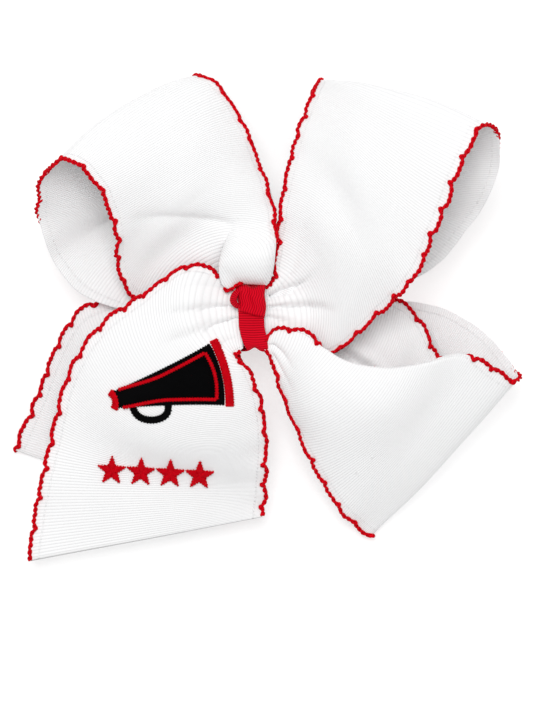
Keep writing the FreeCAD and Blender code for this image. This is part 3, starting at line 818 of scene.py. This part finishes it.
def thread_material(name, colour, spacing, roughness):
    """Stranded thread: fine slanted filaments with painted shade in the gaps between them, paler and darker
    mottling that is partly the thread's own uneven tone and partly painted highlights and shade, and little
    shine.
    """
    material, tree, shader = new_material(name)
    length, around = cloth_coordinates(tree)
    filaments = sine_ridges(tree, plus(tree, maths(tree, "DIVIDE", length, spacing), around))
    height = plus(tree, filaments, times(tree, speckled(tree, 2500.0), 0.5))
    # Painted highlights and shade: noise mottling, partly the thread's own uneven tone; the gaps between
    # filaments get painted shade below.
    mottled_tone_and_painted_highlights = times(tree, speckled(tree, 750.0, detail=3.0), 0.9)
    tone = plus(tree, times(tree, filaments, 0.45), mottled_tone_and_painted_highlights)
    tree.links.new(blended(tree, tone, toned(colour, 0.35), toned(colour, 1.12)), shader.inputs["Base Color"])
    bumped(tree, shader, height, 0.00016)
    shader.inputs["Roughness"].default_value = roughness
    shader.inputs["Specular IOR Level"].default_value = 0.03
    return material


def metal_material(name, colour, smoothest, spread, grain):
    """Metal with fine grain along one axis, which varies the roughness and the tone and lifts the surface."""
    material, tree, shader = new_material(name)
    lines = speckled(tree, 1.0, grain, 3.0)
    tree.links.new(blended(tree, lines, toned(colour, 0.86), colour), shader.inputs["Base Color"])
    tree.links.new(plus(tree, times(tree, lines, spread), smoothest), shader.inputs["Roughness"])
    shader.inputs["Metallic"].default_value = 1.0
    bumped(tree, shader, lines, 0.00001)
    return material


def rubber_material():
    """Soft dark rubber: a matt, finely pitted skin."""
    material, tree, shader = new_material("grip_rubber")
    pits = speckled(tree, 1600.0)
    skin = blended(tree, pits, (0.035, 0.035, 0.037, 1), (0.07, 0.07, 0.073, 1))
    tree.links.new(skin, shader.inputs["Base Color"])
    shader.inputs["Roughness"].default_value = 0.8
    bumped(tree, shader, pits, 0.00004)
    return material


def glue_material():
    """Set hot-melt glue: milky, glossy and lumpy."""
    material, tree, shader = new_material("set_glue")
    lumps = speckled(tree, 420.0)
    milk = blended(tree, lumps, (0.74, 0.70, 0.60, 1), (0.86, 0.84, 0.76, 1))
    tree.links.new(milk, shader.inputs["Base Color"])
    shader.inputs["Roughness"].default_value = 0.25
    shader.inputs["Subsurface Weight"].default_value = 0.2
    bumped(tree, shader, lumps, 0.0002)
    return material


# ---------------------------------------------------------------- operators
class BOW_OT_stage(bpy.types.Operator):
    """White table top, soft studio light, and a long lens straight above the bow."""
    bl_idname = "bow.stage"
    bl_label = "Stage"

    def execute(self, context):
        half = 1.5
        corners = [(-half, -half), (half, -half), (half, half), (-half, half)]
        corners = np.array([corner + (TABLE_Z,) for corner in corners])
        floor = mesh_object("stage_floor", corners, np.array([[0, 1, 2, 3]]))
        material, tree, shader = new_material("stage_white")
        tone = blended(tree, speckled(tree, 30.0), (0.56, 0.56, 0.56, 1), (0.58, 0.58, 0.58, 1))
        tree.links.new(tone, shader.inputs["Base Color"])
        shader.inputs["Emission Color"].default_value = (1, 1, 1, 1)
        shader.inputs["Emission Strength"].default_value = 0.50
        shader.inputs["Roughness"].default_value = 0.9
        floor.data.materials.append(material)
        self.light("key", (-0.15, 0.5, 1.55), size=0.9, power=14.2)
        self.light("fill", (0.9, -0.2, 1.0), size=1.2, power=0.9)
        self.world(context.scene)
        self.camera(context.scene)
        return {"FINISHED"}

    def light(self, name, place, size, power):
        """Square soft box that faces the bow."""
        lamp = bpy.data.lights.new(name, "AREA")
        lamp.size = size
        lamp.energy = power
        made = bpy.data.objects.new(name, lamp)
        made.location = place
        made.rotation_euler = (-Vector(place)).to_track_quat("-Z", "Y").to_euler()
        bpy.context.scene.collection.objects.link(made)

    def world(self, scene):
        """Even white surroundings."""
        world = bpy.data.worlds.new("studio")
        world.use_nodes = True
        background = world.node_tree.nodes["Background"]
        background.inputs["Color"].default_value = (1, 1, 1, 1)
        background.inputs["Strength"].default_value = 0.61
        scene.world = world
        scene.view_settings.view_transform = "Standard"

    def camera(self, scene):
        """Camera square above the bow, which fills the width of the frame and sits a little high in it."""
        lens = bpy.data.cameras.new("camera")
        middle, distance, view_height = (0.0037, -0.0131), 2.5, 0.24885
        lens.sensor_fit = "VERTICAL"
        lens.sensor_height = 24.0
        lens.lens = distance * lens.sensor_height / view_height
        lens.clip_end = 10.0
        made = bpy.data.objects.new("camera", lens)
        made.location = (*middle, distance)
        scene.collection.objects.link(made)
        scene.camera = made


class BOW_OT_ribbon(bpy.types.Operator):
    """The gathered ribbon: four loops and two tails, each a curved sheet of scalloped grosgrain."""
    bl_idname = "bow.ribbon"
    bl_label = "Ribbon"

    def execute(self, context):
        # 0.88 is the share of the colour left in the rib grooves, painted shade.
        material = ribbon_material("white_grosgrain", colours().ribbon, 0.88, sizes().rib_pitch, 0.00012,
                                   stitched=True)
        for seed, (name, spec) in enumerate(RUNS.items()):
            points, normals, along, across, t = run_surface(spec)
            spec["seed"] = seed + 1
            spec["borders"] = borders(spec, points, normals, t)
            points = scalloped(points, spec, across)
            spec["surface"] = (points, normals, along)
            shape = points.shape[:2]
            parts = [(points, self.faces(points, normals))]
            lengths = [np.broadcast_to(along[:, None], shape)]
            widths = [np.broadcast_to(across * RIBBON_WIDTH, shape)]
            if name == "loop_upper_left":
                patch, patch_normals, patch_length = self.folded_lobe()
                spec["borders"].append(self.lobe_border(patch, patch_normals))
                parts.append((patch, self.faces(patch, patch_normals)))
                lengths.append(patch_length)
                widths.append(np.full(patch.shape[:2], RIBBON_WIDTH / 2))
            vertices, faces = joined(parts)
            piece = cloth_piece("ribbon_" + name, vertices, faces, stacked(lengths), stacked(widths),
                                material, sizes().ribbon_thick)
            finished(piece, name)
        return {"FINISHED"}

    def faces(self, points, normals):
        """Quads of a grid that face along its normals."""
        turn = np.cross(points[1, 1] - points[0, 1], points[0, 2] - points[0, 1])
        return grid_faces(*points.shape[:2], flip=np.dot(turn, normals[0, 1]) < 0)

    def folded_lobe(self):
        """The upper-left loop's rounded fold over the knot: points, normals and length coordinates.

        Rows climb from the knot at p = 0. Columns cross from the left side, q = -1, to the right. Height
        falls from the crest to each side as the square root of 1 - |q|^3, and eases onto the loop's own
        surface for p from 0.38 to 0.72. The lowest rows dip by the hook at their left. The ribs turn from
        LOBE_RIBS at the knot to the loop's own higher up.
        """
        p = np.linspace(0, 1, 60)
        q = np.sin(np.linspace(-1, 1, 61) * math.pi / 2)
        x0, y0, z0, x1, y1, z1, crest, dip = catmull(LOBE, p).T[:, :, None]
        share = (q + 1) / 2
        x = x0 + (x1 - x0) * share
        hook = 2.1 * np.exp(-((share - 0.15) / 0.14) ** 2) * (1 - smooth(p, 0, 0.16))[:, None]
        y = y0 + (y1 - y0) * share - dip * (1 - q * q) - hook
        side = np.where(q < 0, z0, z1)
        height = side + (crest - side) * np.sqrt(1 - np.abs(q) ** 3)
        surface, _, length = laid_on("loop_upper_left", x, y)
        ease = smooth(p, 0.38, 0.72)[:, None]
        sink = 1.2 * smooth(p, 0.66, 1.0)[:, None] + 1.0 * ease * smooth(np.abs(q), 0.6, 1.0)
        points = np.dstack([x, y, height + (surface + 0.1 - height) * ease - sink])
        turned = LOBE_RIBS[0] * x + LOBE_RIBS[1] * y
        turned = turned + (length - turned)[len(p) // 2, len(q) // 2]
        return points, right_side(points), length + (turned - length) * (1 - smooth(p, 0.3, 0.75)[:, None])

    def lobe_border(self, patch, normals):
        """The stretch of the loop's own border that shows under the lobe, left of the knot."""
        shown = slice(0, 34)
        line, outward = patch[0, shown], unit(patch[0, shown] - patch[3, shown])
        run = arc_length(line)
        return run, 0 * run, line, outward, normals[0, shown], picot_places(seed=2, length=run[-1])


class BOW_OT_edging(bpy.types.Operator):
    """Red picot edging: two strands twisted along each border, bowed between picots and knotted at them."""
    bl_idname = "bow.edging"
    bl_label = "Edging"

    def execute(self, context):
        material = thread_material("edging_thread", colours().thread, 0.0009, 0.5)
        for name, spec in RUNS.items():
            strands = [strand for border in spec["borders"] for strand in self.strands(border, spec)]
            piece = strand_piece("edging_thread_" + name, strands, material)
            finished(piece, "edging_" + name)
        return {"FINISHED"}

    def strands(self, border, spec):
        """Both strands along one border, as (points, quads, length, place around) in mm.

        Each circles the middle line by cosine outward and sine off the face, half a turn from the other, and
        thickens at every picot. Where the border is behind, the edging lies further off it and pulled in.
        """
        run, t, line, outward, face, picots = border
        s = np.arange(1.0, run[-1] - (1.0 if spec["looped"] else 0.0), 0.3)
        line, outward, face = (along_run(s, run, rows) for rows in (line, outward, face))
        outward, face = unit(outward), unit(face)
        bow, bite = sizes().scallop_bow / MM, sizes().picot_depth / MM
        swell, near = scallop(s, picots)
        stray = 0.16 * np.sin(s / 1.9 + picots[1]) + 0.12 * np.sin(s / 0.83 + picots[2])
        hidden = behind(spec, np.interp(s, run, t))
        reach = bow * (swell - SCALLOP_MEAN) - bite * np.exp(-(near / 0.7) ** 2) + stray
        reach = reach * (1 - SCALLOP_LOSS * hidden) - EDGING_PULL * hidden
        lift = 0.30 + 0.2 * np.exp(-(near / 0.8) ** 2) + 0.35 * hidden
        middle = line + outward * reach[:, None] + face * lift[:, None]
        middle[:, 2] = settled(middle[:, 2], LOWEST_EDGING)
        radius, twist = sizes().strand_radius / MM, sizes().strand_twist / MM
        made = []
        for turn in (0.0, math.pi):
            angle = 2 * math.pi * s / twist + turn + 0.6 * np.sin(s / 4.1)
            offset = outward * np.cos(angle)[:, None] + face * np.sin(angle)[:, None]
            swollen = 0.15 * np.sin(2 * math.pi * s / 1.3 + turn) + 0.45 * np.exp(-(near / 0.6) ** 2)
            points, quads = tube(middle + offset * radius * 0.85, radius * (1 + swollen))
            shape = points.shape[:2]
            around = np.linspace(0, 1, shape[1])
            made.append((points, quads, np.broadcast_to(s[:, None], shape), np.broadcast_to(around, shape)))
        return made


class BOW_OT_gather(bpy.types.Operator):
    """The pinched ribbon inside the wrap: a rounded section carried along x, its radius cut by 22 pleats."""
    bl_idname = "bow.gather"
    bl_label = "Pinched centre"

    def execute(self, context):
        x = np.linspace(GATHER_SPAN[0], GATHER_SPAN[1], 40)
        angle = np.linspace(0, 2 * math.pi, 240, endpoint=False)
        ends = smooth(x, x[0], x[0] + 0.6) * smooth(-x, -x[-1], 0.6 - x[-1])
        flare = 1 + 0.06 * np.abs(x - KNOT[0]) / 6
        pleat = 1 - 0.045 * np.abs(np.sin(11 * angle + 0.4 * np.sin(3 * angle))) ** 0.7
        scale = (ends ** 0.35 * flare)[:, None] * pleat
        y, z = rounded_section(angle, *GATHER_HALF)
        points = np.dstack([np.broadcast_to(x[:, None], scale.shape), y * scale, GATHER_Z + z * scale])
        faces = grid_faces(*points.shape[:2], flip=True, around=True)
        # 0.84 is the share of the colour left in the rib grooves, painted shade.
        material = ribbon_material("pinched_grosgrain", colours().ribbon, 0.84, sizes().rib_pitch, 0.00008)
        piece = cloth_piece("pinched_centre", points, faces, x[:, None], angle * 6, material)
        finished(piece, "ribbon_centre_gather")
        return {"FINISHED"}


class BOW_OT_wrap(bpy.types.Operator):
    """The narrow red ribbon: the band round the pinch, and the crossing turn with its curled ear."""
    bl_idname = "bow.wrap"
    bl_label = "Wrap and knot"

    def execute(self, context):
        pitch = sizes().wrap_rib_pitch
        # 0.30 is the share of the red left in the rib grooves, strong painted shade.
        material = ribbon_material("red_wrap_grosgrain", colours().wrap, 0.30, pitch, 0.00022,
                                   sheen=0.0, gloss=0.06)
        self.band(material, pitch / MM)
        self.knot(material, pitch / MM)
        return {"FINISHED"}

    def band(self, material, pitch):
        """Closed band: a rounded section round the pinch, its sides drawn to WRAP_SIDES down the front."""
        angle = np.linspace(0, 2 * math.pi, 360, endpoint=False)
        q = np.linspace(0, 1, 25)
        y, z = rounded_section(angle, *WRAP_HALF)
        front = smooth(z, -1.0, 3.0)
        left, right = (np.interp(y, WRAP_SIDES[:, 0], side) * front + back * (1 - front)
                       for side, back in zip(WRAP_SIDES.T[1:], WRAP_BACK))
        x = left[:, None] + (right - left)[:, None] * q
        notch = 1.4 * np.exp(-((x + 0.4) / 1.7) ** 2) * smooth(-y, 8, 11.3)[:, None]
        bow = 0.25 * np.sin(math.pi * q) * front[:, None]
        path = arc_length(np.stack([y, z], axis=-1))
        ribs = 0.09 * np.abs(np.sin(math.pi * path / pitch))[:, None] + 0.05 * np.sin(7 * q + y[:, None] / 3)
        lift = 1 + (bow + ribs) / np.hypot(y, z)[:, None]
        points = np.dstack([x, y[:, None] * lift + notch, WRAP_Z + z[:, None] * lift])
        faces = grid_faces(len(angle), len(q), closed=True, flip=True)
        piece = cloth_piece("wrap_band", points, faces, path[:, None], q * 9, material, thickness=0.0006)
        finished(piece, "centre_wrap")

    def knot(self, material, pitch):
        """Crossing turn: an arched flap whose ribs run down it, its ends tucked in, and the curled ear.

        The flap's height over the band is a crest times the square root of 1 - |q|^4, less towards both ends.
        The ear is a strip on edge along a curved spine, bowed to one side.
        """
        p = np.linspace(0, 1, 90)[:, None]
        q = np.linspace(-1, 1, 81)[None, :]
        share = (q + 1) / 2
        top = FLAP_TOP - 0.9 * np.exp(-((share - 0.52) / 0.2) ** 2)
        low = FLAP_LOW - 1.9 * smooth(share, 0.0, 1.0)
        tuck = smooth(p, 0.0, 0.12) * smooth(1 - p, 0.0, 0.10)
        y = top + (low - top) * p
        left = -5.6 - 0.6 * np.sin(math.pi * p)
        x = left + (3.1 - left) * share + 0.25 * np.sin(9 * p + 2)
        arch = np.sqrt(1 - np.abs(q) ** 4)
        across_ribs = x + 0.35 * np.sin(y * 1.3 + x * 0.4)
        ribs = 0.10 * np.abs(np.sin(math.pi * across_ribs / pitch)) * tuck
        crease = 0.5 * np.exp(-((q + 0.25 - 0.5 * p) / 0.16) ** 2) * np.sin(math.pi * p)
        z = FLAP_Z + (3.1 + 2.1 * arch * (0.75 + 0.25 * np.sin(math.pi * p))) * tuck ** 0.45 + ribs - crease
        flap = np.dstack([x, y, z])
        s = np.linspace(0, 1, 60)
        spine = catmull(EAR, s)
        tangent = unit(np.gradient(spine, axis=0))
        side = unit(np.cross(tangent, UP))
        w = np.linspace(-1, 1, 21)[None, :, None]
        fall = (1.9 * np.sin(math.pi * np.clip(s, 0.08, 0.95)) ** 0.5)[:, None, None]
        ear = spine[:, None] + w * fall * np.array([0.0, 0.0, 0.85])
        ear = ear - side[:, None] * (1.1 * w + 0.7 * w * w) * fall * 0.5
        vertices, faces = joined([(flap, grid_faces(*flap.shape[:2])), (ear, grid_faces(*ear.shape[:2]))])
        lengths = [across_ribs, np.broadcast_to(arc_length(spine)[:, None], ear.shape[:2])]
        widths = [y, np.broadcast_to(w[0, :, 0] * 3, ear.shape[:2])]
        piece = cloth_piece("wrap_knot", vertices, faces, stacked(lengths), stacked(widths), material,
                            thickness=0.0005)
        finished(piece, "centre_knot")


class BOW_OT_embroidery(bpy.types.Operator):
    """Megaphone and row of stars stitched on the front tail, every shape of raised satin columns."""
    bl_idname = "bow.embroidery"
    bl_label = "Embroidery"

    def execute(self, context):
        dark = thread_material("dark_satin_stitch", colours().ink, 0.00042, 0.45)
        red = thread_material("red_satin_stitch", colours().thread, 0.00042, 0.42)
        for name, columns, material, slot_name, node_name in (
                ("stitched_megaphone", self.megaphone(), dark, "black_stitching", "embroidery_megaphone"),
                ("stitched_trim", self.trim(), red, "red_stitching", "embroidery_trim_bands"),
                ("stitched_stars", self.stars(), red, "red_stitching", "embroidery_stars")):
            finished(strand_piece(name, columns, material), node_name)
        return {"FINISHED"}

    def on_horn(self, along, aside):
        """Front-view points from places along and aside of the megaphone's axis."""
        c, s = math.cos(math.radians(HORN_TURN)), math.sin(math.radians(HORN_TURN))
        x, y = HORN_CENTRE
        return np.stack([x + along * c - aside * s, y + along * s + aside * c], axis=-1)

    def half_width(self, along):
        """Half the megaphone's width: a cone that flares a little at its mouth."""
        share = along / HORN_LENGTH + 0.5
        return (HORN_THROAT + (HORN_MOUTH - HORN_THROAT) * (0.8 * share + 0.2 * share ** 3)) / 2

    def megaphone(self):
        """Dark body of the cone and its handle."""
        along = np.linspace(-HORN_LENGTH / 2 + 2.2, HORN_LENGTH / 2 - 2.9, 300)
        body = satin(self.on_horn(along, 0 * along), self.half_width(along), 0.7, bulge=1.5, columns=56,
                     seed=1)
        turn = np.linspace(0, math.pi, 90)
        grip_along = -7.0 + 6.0 * np.cos(turn)
        grip_aside = -4.2 - 0.9 * np.cos(turn) - 5.8 * np.sin(turn) ** 0.7
        grip = satin(self.on_horn(grip_along, grip_aside), np.full(90, 1.25), 0.65, columns=14, seed=2)
        return [body, grip]

    def trim(self):
        """Red bands at the mouth and the mouthpiece, and a line of red set in from the cone's border."""
        made = []
        throat, mouth = -HORN_LENGTH / 2, HORN_LENGTH / 2
        across = np.linspace(-1, 1, 120)
        for start, stop in ((throat, throat + 2.6), (mouth - 3.0, mouth)):
            middle = (start + stop) / 2
            path = self.on_horn(middle + 1.5 * (1 - across ** 2), across * (self.half_width(middle) + 0.5))
            made.append(satin(path, np.full(len(across), (stop - start) / 2), 0.85, columns=18, seed=3))
        along = np.linspace(throat + HORN_LINE_START, mouth - HORN_LINE_END, 150)
        aside = self.half_width(along) - HORN_LINE_INSET * smooth(along, -20, 0)
        across = np.linspace(-1, 1, 110)
        end = mouth - HORN_LINE_END
        inner = self.half_width(end) - HORN_LINE_INSET
        for seed, path in ((4, self.on_horn(along, aside)), (4, self.on_horn(along, -aside)),
                           (5, self.on_horn(end + 1.4 * (1 - across ** 2), across * inner))):
            made.append(satin(path, np.full(len(path), 0.6), 0.55, base=0.8, columns=10, seed=seed))
        return made

    def stars(self):
        """Row of stars, each of five satin kites that meet in the middle."""
        made = []
        slope = math.tan(math.radians(STAR_ROW_TURN))
        waist_along, waist_half = (STAR_WAIST * f(math.radians(36)) for f in (math.cos, math.sin))
        for k in range(STAR_COUNT):
            middle = np.array(STAR_FIRST) + STAR_PITCH * k * np.array([1.0, slope])
            for arm in range(5):
                angle = math.radians(90 + 72 * arm + STAR_ROW_TURN)
                r = np.linspace(-STAR_OVERLAP, 1.0, 36)
                rising = (r + STAR_OVERLAP) / (waist_along + STAR_OVERLAP)
                half = np.where(r < waist_along, rising, (1 - r) / (1 - waist_along))
                half = half * waist_half * STAR_RADIUS
                path = middle + (r * STAR_RADIUS)[:, None] * np.array([math.cos(angle), math.sin(angle)])
                made.append(satin(path, half + 0.14, 0.95, columns=16, seed=10 + k * 5 + arm))
        return made


class BOW_OT_clip(bpy.types.Operator):
    """Finishes of the clip, spring, pin, binding wire and glue, and the ribbon cover on the clip."""
    bl_idname = "bow.clip"
    bl_label = "Clip and fixings"

    def execute(self, context):
        plated = metal_material("nickel_plate", (0.70, 0.69, 0.67, 1), 0.22, 0.16, (40, 900, 900))
        drawn = metal_material("drawn_steel", (0.56, 0.56, 0.57, 1), 0.34, 0.14, (1200, 120, 1200))
        wire = metal_material("binding_wire", (0.60, 0.60, 0.62, 1), 0.38, 0.12, (1500, 200, 200))
        finishes = {
            "clip_upper_jaw": plated, "clip_lower_jaw": plated, "clip_hinge_pin": drawn,
            "clip_torsion_spring": drawn, "cinch_wire": wire, "clip_grip_liner": rubber_material(),
            "glue_pad": glue_material()}
        for name, material in finishes.items():
            node_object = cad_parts[name]
            node_object.data.materials.clear()
            node_object.data.materials.append(material)
        self.cover()
        return {"FINISHED"}

    def cover(self):
        """Ribbon strip glued along the clip's arm, lower by |v|^6 to its long edges and eased at its ends."""
        low, high = (np.array(corner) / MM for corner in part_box("clip_ribbon_cover"))
        u, v = np.linspace(0, 1, 150)[:, None], np.linspace(-1, 1, 21)[None, :]
        x = low[0] + (high[0] - low[0]) * u
        y = high[1] * v * (1 - 0.03 * np.abs(2 * u - 1) ** 8)
        ends = smooth(np.minimum(u, 1 - u), 0, 0.015)
        z = high[2] - 0.1 - 0.18 * np.abs(v) ** 6 + 0.03 * np.sin(x * 1.1 + 2 * v) - 0.12 * (1 - ends)
        points = np.dstack(np.broadcast_arrays(x, y, z))
        # 0.86 is the share of the colour left in the rib grooves, painted shade.
        material = ribbon_material("cover_grosgrain", colours().ribbon, 0.86, sizes().rib_pitch, 0.00008)
        piece = cloth_piece("clip_cover_ribbon", points, grid_faces(*points.shape[:2]), x, y, material,
                            thickness=0.0004)
        finished(piece, "clip_ribbon_cover")


class BOW_PT_panel(bpy.types.Panel):
    """Sidebar panel with the bow's sizes, colours and building steps."""
    bl_idname = "BOW_PT_panel"
    bl_label = "Cheer bow"
    bl_space_type = "VIEW_3D"
    bl_region_type = "UI"
    bl_category = "Bow"

    def draw(self, context):
        for group in (context.scene.bow_sizes, context.scene.bow_colours):
            for key in group.bl_rna.properties.keys():
                if key not in ("rna_type", "name"):
                    self.layout.prop(group, key)
        for step in STEPS:
            self.layout.operator(step.bl_idname)


STEPS = (BOW_OT_stage, BOW_OT_ribbon, BOW_OT_edging, BOW_OT_gather, BOW_OT_wrap, BOW_OT_embroidery,
         BOW_OT_clip)
CLASSES = (BowSizes, BowColours) + STEPS + (BOW_PT_panel,)


def register():
    for item in CLASSES:
        bpy.utils.register_class(item)
    bpy.types.Scene.bow_sizes = bpy.props.PointerProperty(type=BowSizes)
    bpy.types.Scene.bow_colours = bpy.props.PointerProperty(type=BowColours)


def unregister():
    del bpy.types.Scene.bow_colours
    del bpy.types.Scene.bow_sizes
    for item in reversed(CLASSES):
        bpy.utils.unregister_class(item)


def main():
    """Build every piece."""
    register()
    for step in STEPS:
        family, action = step.bl_idname.split(".")
        getattr(getattr(bpy.ops, family), action)()


if __name__ == "__main__":
    main()
